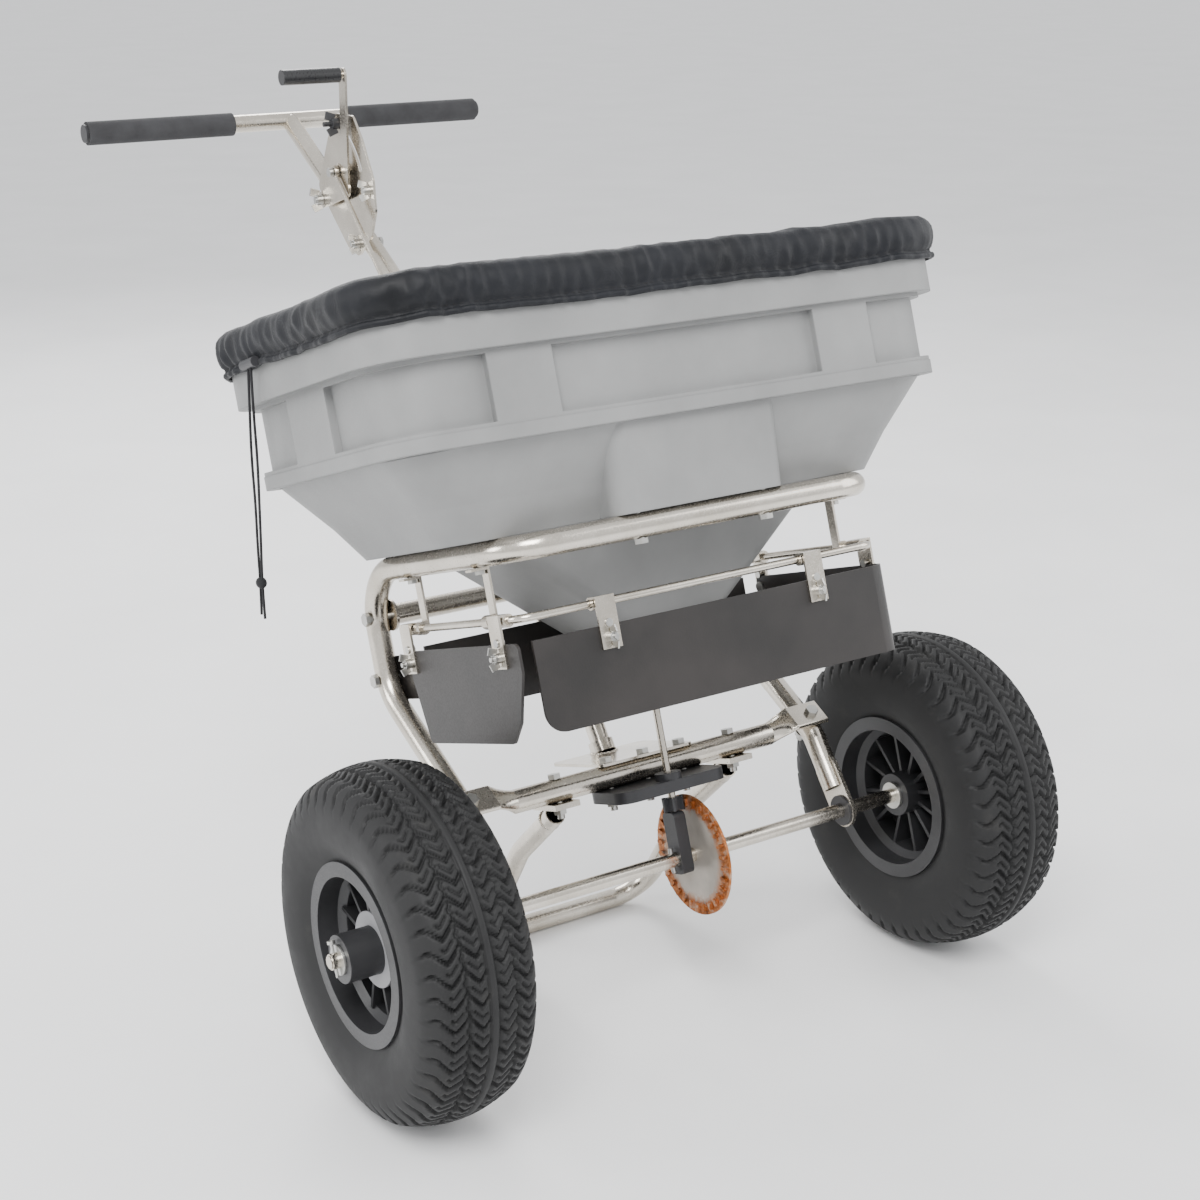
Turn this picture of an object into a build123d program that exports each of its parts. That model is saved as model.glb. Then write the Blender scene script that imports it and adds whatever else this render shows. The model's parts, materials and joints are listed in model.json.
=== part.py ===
from build123d import *
import math
import os

os.makedirs("parts", exist_ok=True)

# Walk-behind broadcast spreader, millimetres, +Z up, -Y front, +Y towards the operator.
# The chassis is drawn upright in (X, u, v): u rearward, v up along the impeller shaft, zero at the
# axle centre.  place() leans it back on its stand and lifts it to its tyre radius.
TILT = 19.0
TYRE_R = 178.0
TYRE_W = 122.0
WHEEL_X = 333.75
RIM_SEAT_R = 82.0
RIM_FLANGE_R = 92.0
HUB_R = 24.0
AXLE_R = 7.95
AXLE_HALF = 412.0
BORE_R = 8.0

FRAME_D = 25.0
FRAME_WALL = 1.5
LEG_X = 219.0
RAIL_V = 355.5
BAR_U = -148.0
LEG_U = 168.0
CROSS_D = 22.0
CROSS_U = 160.0
CROSS_V = 306.0
LOW_U = 42.0
LOW_V = 97.0
STAND_D = 22.0
STAND_X = 112.0
STAND_U = 277.0

HANDLE_D = 22.0
BASE_U = 121.0
PLATE_TOP = 112.5
BEND_U = 249.0
BEND_V = 508.7
TEE_U = 612.0
TEE_V = 935.0
BAR_HALF = 270.0
GRIP_R = 14.2
GRIP_IN = 80.0

RIM_HX = 343.0
RIM_HU = 186.0
WALL_HX = 330.0
WALL_HU = 178.0
BAND_LOW = 541.0
RIM_V = 605.0
LIP_LOW = 456.0
LIP_TOP = 470.0
LEDGE_V = 368.0
OUTLET_V = 235.0

ROD_D = 8.0
ROD_V = 290.0
ROD_U = -134.0
ROD_X = 218.0
PANEL_T = 3.0
PANEL_OUT = 8.5
STRAP_U = (-78.0, 68.0)

SHAFT_R = 4.0
GEAR_FACE = 12.6
GEAR_R = 65.0
DIMPLES = 30
DIMPLE_R = 57.0
TEETH = 6

PIVOT_U = 507.0
PIVOT_V = 812.0
CLEVIS_U = 452.0
CLEVIS_V = 834.0
CRANK_U = 104.0
CRANK_V = 200.0
LINK_U = 141.0
LINK_V = 236.0
PUSH_U = 93.7
PUSH_V = 228.2
SLOT_R = 100.0

CORD_D = 2.8
TOGGLE_X = -353.4
TOGGLE_U = 60.8
TOGGLE_V = 579.0

COS = math.cos(math.radians(TILT))
SIN = math.sin(math.radians(TILT))
ORIGIN_Y = (TEE_U * COS + TEE_V * SIN + GRIP_R - TYRE_R) / 2
STAND_V = (STAND_D / 2 - TYRE_R + STAND_U * SIN) / COS
LOWEST = (Align.MIN, Align.MIN, Align.MIN)
RISING = (Align.CENTER, Align.CENTER, Align.MIN)


def place(shape):
    return Pos(0, -ORIGIN_Y, TYRE_R) * Rot(-TILT, 0, 0) * shape


def save(name, shape):
    export_step(place(shape), f"parts/{name}.step")


def block(x0, x1, u0, u1, v0, v1):
    return Pos(x0, u0, v0) * Box(x1 - x0, u1 - u0, v1 - v0, align=LOWEST)


def bar(start, end, radius):
    a = Vector(*start)
    b = Vector(*end)
    return Plane(origin=a, z_dir=b - a) * Cylinder(radius, (b - a).length, align=RISING)


def ring(start, end, outer, inner):
    return bar(start, end, outer) - bar(start, end, inner)


def slab(half_x, half_u, v0, v1, corner):
    return Pos(0, 0, v0) * extrude(RectangleRounded(2 * half_x, 2 * half_u, corner), v1 - v0)


def side_plate(x0, x1, outline):
    return extrude(Plane.YZ.offset(x0) * make_face(Polyline(*outline, close=True)), x1 - x0)


def strap(x0, x1, a, b, radius):
    """Flat link between two (u, v) points with round ends."""
    du = b[0] - a[0]
    dv = b[1] - a[1]
    span = math.hypot(du, dv)
    nu = -dv / span * radius
    nv = du / span * radius
    outline = [(a[0] + nu, a[1] + nv), (b[0] + nu, b[1] + nv), (b[0] - nu, b[1] - nv), (a[0] - nu, a[1] - nv)]
    ends = bar((x0, *a), (x1, *a), radius) + bar((x0, *b), (x1, *b), radius)
    return side_plate(x0, x1, outline) + ends


def route(points, radii):
    """Straight runs joined by tangent arcs, one radius per inner corner."""
    edges = []
    start = Vector(*points[0])
    for before, corner, after, radius in zip(points, points[1:], points[2:], radii):
        c = Vector(*corner)
        into = (c - Vector(*before)).normalized()
        out = (Vector(*after) - c).normalized()
        half = math.radians(into.get_angle(out)) / 2
        a = c - into * (radius * math.tan(half))
        b = c + out * (radius * math.tan(half))
        middle = c + (out - into).normalized() * (radius / math.cos(half) - radius)
        edges.append(Edge.make_line(start, a))
        edges.append(Edge.make_three_point_arc(a, middle, b))
        start = b
    edges.append(Edge.make_line(start, Vector(*points[-1])))
    return Wire(edges)


def swept(points, radii, section):
    path = route(points, radii)
    return sweep(Plane(origin=path @ 0, z_dir=path % 0) * section, path=path)


def tube(points, radii, outer, wall):
    return swept(points, radii, Circle(outer / 2) - Circle(outer / 2 - wall))


def bolt(seat, along, grip, dia):
    """Hex bolt whose head sits on seat and whose nut closes the grip."""
    hexagon = RegularPolygon(dia * 0.92, 6)
    head = extrude(hexagon, -0.65 * dia)
    shank = Cylinder(dia / 2, grip + 1.4 * dia, align=RISING)
    nut = Pos(0, 0, grip) * extrude(hexagon, 0.8 * dia)
    washer = Pos(0, 0, grip) * Cylinder(dia, 0.15 * dia, align=RISING)
    return Plane(origin=Vector(*seat), z_dir=Vector(*along)) * (head + shank + nut + washer)


def drill(seat, along, length, dia):
    cutter = Pos(0, 0, -0.5) * Cylinder(dia / 2, length + 1, align=RISING)
    return Plane(origin=Vector(*seat), z_dir=Vector(*along)) * cutter


def wing_nut(at, along, size):
    """Wing nut with two raised wings, growing away from its seat."""
    body = Cylinder(size, size * 1.3, align=RISING)
    wings = body
    for side in (-1, 1):
        wing = Pos(side * size * 1.35, 0, size * 1.3) * Rot(0, side * 20, 0) * Box(size * 1.5, size * 0.35, size * 1.9)
        wings = wings + wing
    return Plane(origin=Vector(*at), z_dir=Vector(*along)) * wings


def both(shape):
    return shape + mirror(shape, about=Plane.YZ)


# ---- fasteners of the frame: (seat, direction, grip, diameter)
S45 = math.sqrt(0.5)
end_u = 41.5 - S45 * 15.5
end_v = 97.5 + S45 * 15.5
frame_fasteners = []
for side in (-1, 1):
    frame_fasteners.append(((side * 231.5, CROSS_U + 1, CROSS_V), (-side, 0, 0), 29.0, 8.0))
    frame_fasteners.append(((side * 231.5, LEG_U, 240.0), (-side, 0, 0), 27.7, 8.0))
    seat = (side * LEG_X, end_u - S45 * 3, end_v + S45 * 3)
    frame_fasteners.append((seat, (0, S45, -S45), 31.0, 8.0))
    frame_fasteners.append(((side * STAND_X, LOW_U, LOW_V + 12.5), (0, 0, -1), 31.0, 8.0))
for x in (-47.0, 0.0, 47.0):
    frame_fasteners.append(((x, LOW_U, PLATE_TOP), (0, 0, -1), 40.5, 8.0))
frame_bolts = Part() + [bolt(*f) for f in frame_fasteners]
frame_drills = Part() + [drill(f[0], f[1], f[2], f[3] + 0.3) for f in frame_fasteners]

hopper_fasteners = [((x, BAR_U, RAIL_V - FRAME_D / 2), (0, 0, 1), FRAME_D + 4, 8.0) for x in (-76.0, 76.0)]
hopper_drills = Part() + [drill(f[0], f[1], f[2], 8.3) for f in hopper_fasteners]
hopper_bolts = Part() + [bolt(*f) for f in hopper_fasteners]

# ---- frame hoop: one bent tube with flattened axle eyes
half = [(-LEG_X, 9, 25), (-LEG_X, 32, 88), (-LEG_X, LEG_U, 224), (-LEG_X, LEG_U, RAIL_V), (-LEG_X, BAR_U, RAIL_V)]
points = half + [(-x, u, v) for x, u, v in reversed(half)]
hoop = tube(points, [38, 60, 64, 50, 50, 64, 60, 38], FRAME_D, FRAME_WALL)
eyes = both(strap(LEG_X - 2.5, LEG_X + 2.5, (0, 0), (16, 44), 19))
strap_screws = Part()
strap_drills = Part()
for side in (-1, 1):
    for u in STRAP_U:
        screw = bar((side * LEG_X, u, 336.5), (side * LEG_X, u, 362), 3)
        head = Pos(side * LEG_X, u, 336.5) * extrude(RegularPolygon(5.2, 6), 3.9)
        strap_screws += screw + head
        strap_drills += bar((side * LEG_X, u, 335), (side * LEG_X, u, 350), 3.2)
axle_holes = bar((-240, 0, 0), (240, 0, 0), 12.1)
hoop = hoop + eyes - axle_holes - frame_drills - hopper_drills - strap_drills
save("frame_hoop", hoop)
save("frame_bolts", frame_bolts + hopper_bolts + strap_screws)

# ---- axle bushes in the leg eyes
bush = ring((LEG_X - 5, 0, 0), (LEG_X + 5, 0, 0), 12, BORE_R) + ring((LEG_X - 5, 0, 0), (LEG_X - 2.5, 0, 0), 17, BORE_R)
save("axle_bushes", both(bush))

# ---- cross tubes
cross_end = LEG_X - FRAME_D / 2
cross = ring((-cross_end, CROSS_U, CROSS_V), (cross_end, CROSS_U, CROSS_V), CROSS_D / 2, CROSS_D / 2 - 1.5)
flange = bar((cross_end - 3, CROSS_U, CROSS_V), (cross_end, CROSS_U, CROSS_V), 17)
save("upper_cross_tube", cross + both(flange) - frame_drills)

low = bar((-165, LOW_U, LOW_V), (165, LOW_U, LOW_V), 12.5)
round_face = Plane.YZ.offset(165) * (Pos(LOW_U, LOW_V) * Circle(12.5))
flat = Pos(end_u, end_v) * Rot(0, 0, 45) * RectangleRounded(32, 6, 2.9)
taper = loft([round_face, Plane.YZ.offset(192) * flat])
tab = extrude(Plane.YZ.offset(192) * flat, 42)
hollow = bar((-164, LOW_U, LOW_V), (164, LOW_U, LOW_V), 11)
save("lower_cross_tube", low + both(taper + tab) - hollow - frame_drills)

# ---- rear stand
stand_half = [(-STAND_X, 54, 71), (-STAND_X, 145, 27), (-STAND_X, STAND_U, STAND_V)]
stand_points = stand_half + [(-x, u, v) for x, u, v in reversed(stand_half)]
stand = tube(stand_points, [60, 45, 45, 60], STAND_D, 1.5)
tip = block(STAND_X - 15, STAND_X + 15, 24, 72, 78.5, 84.5)
save("stand_frame", stand + both(tip) - frame_drills)

# ---- handle plate, bearing block and gear yoke
plate = Pos(0, 83.5, 109.5) * extrude(RectangleRounded(120, 107, 10), 3)
save("handle_plate", plate - frame_drills)

bearing = Pos(0, 23, 72) * extrude(RectangleRounded(136, 74, 18), 12.5)
bearing = bearing + bar((0, 0, 72), (0, 0, 92), 14) - bar((0, 0, 60), (0, 0, 100), SHAFT_R + 0.06)
save("bearing_block", bearing - frame_drills)

yoke = Pos(-9, 0, 17) * extrude(Plane.YZ * RectangleRounded(22, 66, 6), 14)
yoke = yoke - bar((-12, 0, 0), (8, 0, 0), BORE_R) - bar((0, 0, 30), (0, 0, 55), SHAFT_R + 0.06)
save("gear_yoke", yoke)

# ---- handle: stem with foot collar, crossbar, grips and plugs
stem = tube([(0, BASE_U, PLATE_TOP), (0, BEND_U, BEND_V), (0, TEE_U, TEE_V)], [150], HANDLE_D, 1.5)
collar = ring((0, BASE_U, PLATE_TOP), (0, BASE_U + 4, PLATE_TOP + 12), 14, 10)
foot_cut = block(-30, 30, 80, 160, 90, PLATE_TOP)
tee_cut = bar((-30, TEE_U, TEE_V), (30, TEE_U, TEE_V), HANDLE_D / 2 + 0.02)
stem_bolts = [((11, PIVOT_U, PIVOT_V), 8.0), ((11, 450.2, 745), 6.0)]
stem_drills = Part() + [drill(seat, (-1, 0, 0), 32, dia + 0.2) for seat, dia in stem_bolts]
save("handle_stem", stem + collar - foot_cut - tee_cut - stem_drills)

save("handle_crossbar", ring((-BAR_HALF, TEE_U, TEE_V), (BAR_HALF, TEE_U, TEE_V), HANDLE_D / 2, HANDLE_D / 2 - 1.5))
for name, side in (("left_grip", -1), ("right_grip", 1)):
    grip = ring((side * GRIP_IN, TEE_U, TEE_V), (side * BAR_HALF, TEE_U, TEE_V), GRIP_R, HANDLE_D / 2 + 0.02)
    save(name, grip)
plug = bar((BAR_HALF, TEE_U, TEE_V), (BAR_HALF + 4, TEE_U, TEE_V), 11)
plug = plug + bar((BAR_HALF - 18, TEE_U, TEE_V), (BAR_HALF, TEE_U, TEE_V), 9.45)
save("grip_plugs", both(plug))

# ---- gauge plate, its bolts and the flow lever
outline = [(392, 858), (404, 890), (450, 905), (480, 880), (529, 833), (478, 747), (454, 730)]
outline += [(413, 745), (390, 771), (382, 808)]
gauge = side_plate(-17, -14, outline)
gauge = fillet(gauge.edges().filter_by(Axis.X), 9)


def polar(radius, degrees):
    angle = math.radians(degrees)
    return (PIVOT_U + radius * math.cos(angle), PIVOT_V + radius * math.sin(angle))


slot_face = make_face([
    Edge.make_three_point_arc((-18, *polar(96.5, 126)), (-18, *polar(96.5, 149)), (-18, *polar(96.5, 172))),
    Edge.make_three_point_arc((-18, *polar(96.5, 172)), (-18, *polar(SLOT_R, 174)), (-18, *polar(103.5, 172))),
    Edge.make_three_point_arc((-18, *polar(103.5, 172)), (-18, *polar(103.5, 149)), (-18, *polar(103.5, 126))),
    Edge.make_three_point_arc((-18, *polar(103.5, 126)), (-18, *polar(SLOT_R, 124)), (-18, *polar(96.5, 126))),
])
slot = extrude(slot_face, 5, dir=(1, 0, 0))
stop_u, stop_v = polar(110, 187)
stop_drill = drill((-10, stop_u, stop_v), (-1, 0, 0), 10, 6.2)
save("gauge_plate", gauge - slot - stem_drills - stop_drill)

spacers = Part()
for seat, dia in stem_bolts:
    spacers += ring((-14, seat[1], seat[2]), (-11, seat[1], seat[2]), 9, dia / 2 + 0.1)

pivot = bar((11, PIVOT_U, PIVOT_V), (-36, PIVOT_U, PIVOT_V), 4)
pivot += Pos(11, PIVOT_U, PIVOT_V) * extrude(Plane.YZ * RegularPolygon(7.4, 6), 5)
pivot += bar((-17, PIVOT_U, PIVOT_V), (-22.7, PIVOT_U, PIVOT_V), 8)
pivot += wing_nut((-26.3, PIVOT_U, PIVOT_V), (-1, 0, 0), 6.5)
save("lever_pivot_bolt", pivot)


lower = bar((11, 450.2, 745), (-27, 450.2, 745), 3) + Pos(11, 450.2, 745) * extrude(Plane.YZ * RegularPolygon(6, 6), 4)
lower += wing_nut((-17, 450.2, 745), (-1, 0, 0), 5.5)
stop = bar((-11, stop_u, stop_v), (-25, stop_u, stop_v), 3) + bar((-14, stop_u, stop_v), (-10.5, stop_u, stop_v), 6)
stop += wing_nut((-17, stop_u, stop_v), (-1, 0, 0), 5.5)
save("gauge_bolts", lower + stop + spacers)

arm = strap(-26, -23, (PIVOT_U, PIVOT_V), (440, 810), 10) + strap(-26, -23, (440, 810), (CLEVIS_U, CLEVIS_V), 10)
arm += strap(-26, -23, (440, 810), (394, 937), 8)
arm += side_plate(-26, -23, [(PIVOT_U, PIVOT_V + 4), (CLEVIS_U, CLEVIS_V + 8), (440, 810)])
arm += bar((-24, 394, 937), (-98, 394, 937), 4.5)
arm -= bar((-30, PIVOT_U, PIVOT_V), (-20, PIVOT_U, PIVOT_V), 4.1)
arm -= bar((-30, CLEVIS_U, CLEVIS_V), (-20, CLEVIS_U, CLEVIS_V), 3.05)
save("flow_lever", arm)
save("lever_grip", bar((-30, 394, 937), (-104, 394, 937), 9) - bar((-30, 394, 937), (-98, 394, 937), 4.52))

clevis = bar((-37, CLEVIS_U, CLEVIS_V), (-18, CLEVIS_U, CLEVIS_V), 3) + bar((-38, CLEVIS_U, CLEVIS_V), (-33.4, CLEVIS_U, CLEVIS_V), 5.5)
clevis += bar((-23, CLEVIS_U, CLEVIS_V), (-19, CLEVIS_U, CLEVIS_V), 5.5)
save("clevis_bolt", clevis)

knob_u, knob_v = polar(SLOT_R, 128)
knob = bar((-11, knob_u, knob_v), (-36, knob_u, knob_v), 3) + bar((-13.8, knob_u, knob_v), (-11, knob_u, knob_v), 6)
knob += wing_nut((-17.2, knob_u, knob_v), (-1, 0, 0), 6.5)
save("stop_knob", knob)

# ---- control rod, bell crank, bracket and shutter
rod_len = math.hypot(CLEVIS_U - LINK_U, CLEVIS_V - LINK_V)
top_u = CLEVIS_U - 5 * (CLEVIS_U - LINK_U) / rod_len
top_v = CLEVIS_V - 5 * (CLEVIS_V - LINK_V) / rod_len
rod = bar((-30, top_u, top_v), (-30, LINK_U, LINK_V), 3) + ring((-32.5, CLEVIS_U, CLEVIS_V), (-27.5, CLEVIS_U, CLEVIS_V), 8, 3.1)
rod = rod - bar((-35, CLEVIS_U, CLEVIS_V), (-25, CLEVIS_U, CLEVIS_V), 3.1)
rod += Pos(-30, LINK_U, LINK_V) * Sphere(3.5) + bar((-30, LINK_U, LINK_V), (-21, LINK_U, LINK_V), 2.8)
save("control_rod", rod)

crank = strap(-26, -23, (CRANK_U, CRANK_V), (LINK_U, LINK_V), 8) + strap(-26, -23, (CRANK_U, CRANK_V), (PUSH_U, PUSH_V), 6)
crank -= bar((-30, CRANK_U, CRANK_V), (-20, CRANK_U, CRANK_V), 3.1)
crank -= strap(-30, -20, (LINK_U, LINK_V), (LINK_U - 3.7, LINK_V - 2.7), 3.6)
crank += bar((-24, PUSH_U, PUSH_V), (-31, PUSH_U, PUSH_V), 2.8)
save("bell_crank", crank)

bracket = block(-20.5, -17.5, 96.5, 116, 188, 212) + block(-20.5, 4, 96.5, 99, 188, 212)
save("crank_bracket", bracket - bar((-25, CRANK_U, CRANK_V), (-10, CRANK_U, CRANK_V), 3.1))
crank_pin = bar((-30, CRANK_U, CRANK_V), (-14, CRANK_U, CRANK_V), 3) + bar((-30, CRANK_U, CRANK_V), (-26.4, CRANK_U, CRANK_V), 5)
crank_pin += bar((-17.5, CRANK_U, CRANK_V), (-14, CRANK_U, CRANK_V), 5) + bar((-22.6, CRANK_U, CRANK_V), (-20.5, CRANK_U, CRANK_V), 5)
save("crank_pin", crank_pin)

outlet = block(-55, 55, -85, 85, 232, 235) + both(block(50.2, 55, -85, 85, 226, 232) + block(42, 52, -85, 85, 226, 228))
outlet -= bar((0, 0, 220), (0, 0, 240), 5)
outlet -= both(block(10, 28, -50, -32, 230, 236))
save("outlet_plate", outlet)

shutter = block(-49.8, 49.8, -82, 62, 228.6, 231) + block(-40, -27.5, 60, 108, 228.6, 231) + block(-30.5, -27.5, 87, 108, 220, 238)
shutter -= both(block(10, 28, -70, -52, 226, 233))
shutter -= block(-7, 7, -27, 7, 226, 233)
shutter -= block(-32, -27, PUSH_U - 3.6, PUSH_U + 3.6, 223, 235)
save("shutter_plate", shutter)

# ---- hopper: moulded shell with ribs, lip, recessed panels and a front bulge
RR = RectangleRounded


def level(v, half_x, half_u, corner):
    return Pos(0, 0, v) * RR(2 * half_x, 2 * half_u, corner)


def bulge_level(v, half_x, front):
    return Pos(0, -(front + 60) / 2, v) * RR(2 * half_x, front - 60, 20)


shell = loft([level(OUTLET_V, 36, 70, 16), level(LEDGE_V, 204, 90, 30)])
shell += loft([level(LEDGE_V, 258, 122, 50), level(404, 280, 139, 52)], ruled=True)
shell += loft([level(404, 280, 139, 52), level(LIP_LOW, 319, 168, 58)], ruled=True)
shell += slab(WALL_HX + 1, WALL_HU + 1, LIP_LOW, LIP_TOP, 61)
shell += slab(WALL_HX, WALL_HU, LIP_TOP, BAND_LOW, 60)
shell += slab(RIM_HX, RIM_HU, BAND_LOW, RIM_V, 64)
shell += loft([bulge_level(LEDGE_V, 102, 160), bulge_level(441, 102, 168), bulge_level(463, 102, 171)], ruled=True)
recess = slab(WALL_HX + 9, WALL_HU + 9, LIP_TOP + 4, BAND_LOW - 4, 66) - slab(WALL_HX - 8, WALL_HU - 8, 460, 560, 54)
windows = block(-155, 155, -200, -100, 400, 600) + block(-155, 155, 100, 200, 400, 600)
for side_x in (-1, 1):
    for side_u in (-1, 1):
        windows += Pos(side_x * 313, side_u * 122.5, 500) * Box(174, 155, 200)
shell -= recess & windows
cavity = loft([level(239, 35, 66, 12), level(372, 203, 85, 26)])
cavity += loft([level(372, 254, 118, 46), level(404, 276, 135, 48)], ruled=True)
cavity += loft([level(404, 276, 135, 48), level(LIP_LOW, 315, 164, 54)], ruled=True)
cavity += slab(318, 166, LIP_LOW, 546, 50) + slab(RIM_HX - 5, RIM_HU - 5, 546, 610, 59)
cavity += loft([bulge_level(372, 98, 156), bulge_level(441, 98, 164), bulge_level(458, 98, 166)], ruled=True)
cavity += block(-30, 30, -56, 56, 230, 241)
save("hopper", shell - cavity - hopper_drills)

# ---- deflector rod and its straps
rod_points = [(-ROD_X, 108, ROD_V), (-ROD_X, ROD_U, ROD_V), (ROD_X, ROD_U, ROD_V), (ROD_X, 108, ROD_V)]
save("deflector_rod", swept(rod_points, [20, 20], Circle(ROD_D / 2)))

straps = Part()
for u in STRAP_U:
    hanger = block(ROD_X - 7, 231, u - 6, u + 6, 340.5, 343) + block(ROD_X - 7, ROD_X - 4.5, u - 6, u + 6, ROD_V, 343)
    hanger += bar((ROD_X, u - 6, ROD_V), (ROD_X, u + 6, ROD_V), 7)
    hanger -= bar((ROD_X, u - 7, ROD_V), (ROD_X, u + 7, ROD_V), ROD_D / 2 + 0.02)
    straps += both(hanger)
save("hanger_straps", straps - strap_drills)


# ---- flap clamps: local x along the rod, y outward, z up, zero on the rod centre
def clamp_body():
    body = Pos(-11, PANEL_OUT, -45) * Box(22, 2.5, 51.5, align=LOWEST)
    body += Pos(-11, 0, 4) * Box(22, 11, 2.5, align=LOWEST)
    body += bar((-11, 0, 0), (11, 0, 0), 6.5)
    body -= bar((-12, 0, 0), (12, 0, 0), ROD_D / 2 + 0.06)
    return body - bar((0, 0, -34), (0, 15, -34), 2.7) - bar((0, 0, -20), (0, 15, -20), 2.1)


def clamp_screw():
    screw = bar((0, 3, -34), (0, 21, -34), 2.5) + bar((0, 3, -34), (0, 5.5, -34), 6)
    screw += wing_nut((0, 11, -34), (0, 1, 0), 5)
    rivet = bar((0, 4.5, -20), (0, 12.5, -20), 2) + bar((0, 11, -20), (0, 12.5, -20), 4)
    return screw + rivet + bar((0, 4, -20), (0, 5.5, -20), 4)


def clamp_cut():
    return bar((0, 0, -34), (0, 15, -34), 2.7) + bar((0, 0, -20), (0, 15, -20), 2.1)


front_spots = [Pos(x, ROD_U, ROD_V) * Rot(0, 0, 180) for x in (-127, 127)]
front_spots += [Pos(ROD_X, u, ROD_V) * Rot(0, 0, -90) for u in (-104, 86.6)]
left_spots = [Pos(-ROD_X, u, ROD_V) * Rot(0, 0, 90) for u in (-104, 86.6)]

save("front_clamps", Part() + [spot * clamp_body() for spot in front_spots])
save("front_clamp_screws", Part() + [spot * clamp_screw() for spot in front_spots])
save("left_clamps", Part() + [spot * clamp_body() for spot in left_spots])
save("left_clamp_screws", Part() + [spot * clamp_screw() for spot in left_spots])

skin_u = ROD_U - PANEL_OUT + PANEL_T / 2
skin_x = ROD_X + PANEL_OUT - PANEL_T / 2
panel_line = route([(-212, skin_u, 177), (skin_x, skin_u, 177), (skin_x, 92, 177)], [22])
start = Plane(origin=panel_line @ 0, z_dir=panel_line % 0, x_dir=(0, 0, 1))
panel = sweep(start * (Pos(45.5, 0) * Rectangle(91, PANEL_T)), path=panel_line)
corner_cut = block(-213, -190, -150, -130, 176, 199) - bar((-190, -152, 199), (-190, -128, 199), 22)
panel = panel - corner_cut - (Part() + [spot * clamp_cut() for spot in front_spots])
save("front_deflector", panel)

flap_outline = [(-138, 268), (92, 268), (92, 240), (76, 172), (-98, 172), (-118, 192), (-138, 240)]
flap = side_plate(-ROD_X - PANEL_OUT, -ROD_X - PANEL_OUT + PANEL_T, flap_outline)
flap = fillet(flap.edges().filter_by(Axis.X), 7)
save("left_deflector", flap - (Part() + [spot * clamp_cut() for spot in left_spots]))

shield = block(-206.3, 206.3, 93.5, 96.5, 195, 270) - block(-42, -20, 90, 100, 190, 244)
shield += both(block(203.8, 206.3, 94, 180, 215, 262))
save("rear_shield", shield - frame_drills)

# ---- driven shaft: shaft, pinion, impeller, agitator and pin
shaft = bar((0, 0, 32), (0, 0, 300), SHAFT_R) - bar((-10, 0, 262), (10, 0, 262), 3.02)
save("impeller_shaft", shaft - Rot(0, 0, 30) * bar((-20, 0, 212), (20, 0, 212), 2.02))
pinion = bar((0, 0, 51), (0, 0, 65), 7.5)
for k in range(TEETH):
    pinion += Rot(0, 0, k * 360 / TEETH) * block(5, 12.2, -1.5, 1.5, 51, 65)
save("pinion", pinion - bar((0, 0, 50), (0, 0, 66), SHAFT_R + 0.02))
impeller = bar((0, 0, 200), (0, 0, 202.5), 85) + bar((0, 0, 196), (0, 0, 222), 12)
for k in range(6):
    impeller += Rot(0, 0, k * 60) * block(8, 84, -1.2, 1.2, 202, 220)
impeller -= bar((0, 0, 190), (0, 0, 230), SHAFT_R + 0.02) + Rot(0, 0, 30) * bar((-20, 0, 212), (20, 0, 212), 2.02)
save("impeller", impeller)
save("impeller_pin", Rot(0, 0, 30) * bar((-13, 0, 212), (13, 0, 212), 2))
stirrer = bar((-32, 0, 262), (32, 0, 262), 3) + both(bar((32, 0, 262), (32, 0, 284), 3) + Pos(32, 0, 262) * Sphere(3))
save("agitator", stirrer)

# ---- axle group
axle = bar((-AXLE_HALF, 0, 0), (AXLE_HALF, 0, 0), AXLE_R)
axle = axle + both(bar((AXLE_HALF, 0, 0), (AXLE_HALF + 1.5, 0, 0), 6.5))
for x, radius in ((24, 2.52), (-14, 2.52), (392, 3.02), (407.5, 1.62), (-407.5, 1.62)):
    axle -= bar((x, 0, -20), (x, 0, 20), radius)
save("drive_axle", axle)

disc = ring((GEAR_FACE, 0, 0), (GEAR_FACE + 3, 0, 0), GEAR_R, AXLE_R + 0.02)
disc += ring((GEAR_FACE + 3, 0, 0), (34, 0, 0), 14, AXLE_R + 0.02)
for k in range(DIMPLES):
    dimple = Pos(GEAR_FACE - 3, 0, DIMPLE_R) * extrude(Plane.YZ * RR(4, 9, 1.9), 3.5)
    disc += Rot((k + 0.5) * 360 / DIMPLES, 0, 0) * dimple
save("gear_disc", disc - bar((24, 0, -20), (24, 0, 20), 2.52))
save("axle_pins", bar((24, 0, -15), (24, 0, 15), 2.5) + bar((-14, 0, -13), (-14, 0, 13), 2.5) + bar((392, 0, -26), (392, 0, 26), 3))

washers = Part()
splits = Part()
for side in (-1, 1):
    washers += ring((side * 402.3, 0, 0), (side * 404.6, 0, 0), 15, AXLE_R + 0.02)
    washers += ring((side * 288, 0, 0), (side * 291.7, 0, 0), 15, AXLE_R + 0.02)
    splits += bar((side * 407.5, 0, -16), (side * 407.5, 0, 16.5), 1.6)
    splits += Pos(side * 407.5, 0, 18.3) * (Cylinder(4, 3.2) - Cylinder(2, 4))
save("hub_washers", washers)
save("split_pins", splits)


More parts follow.
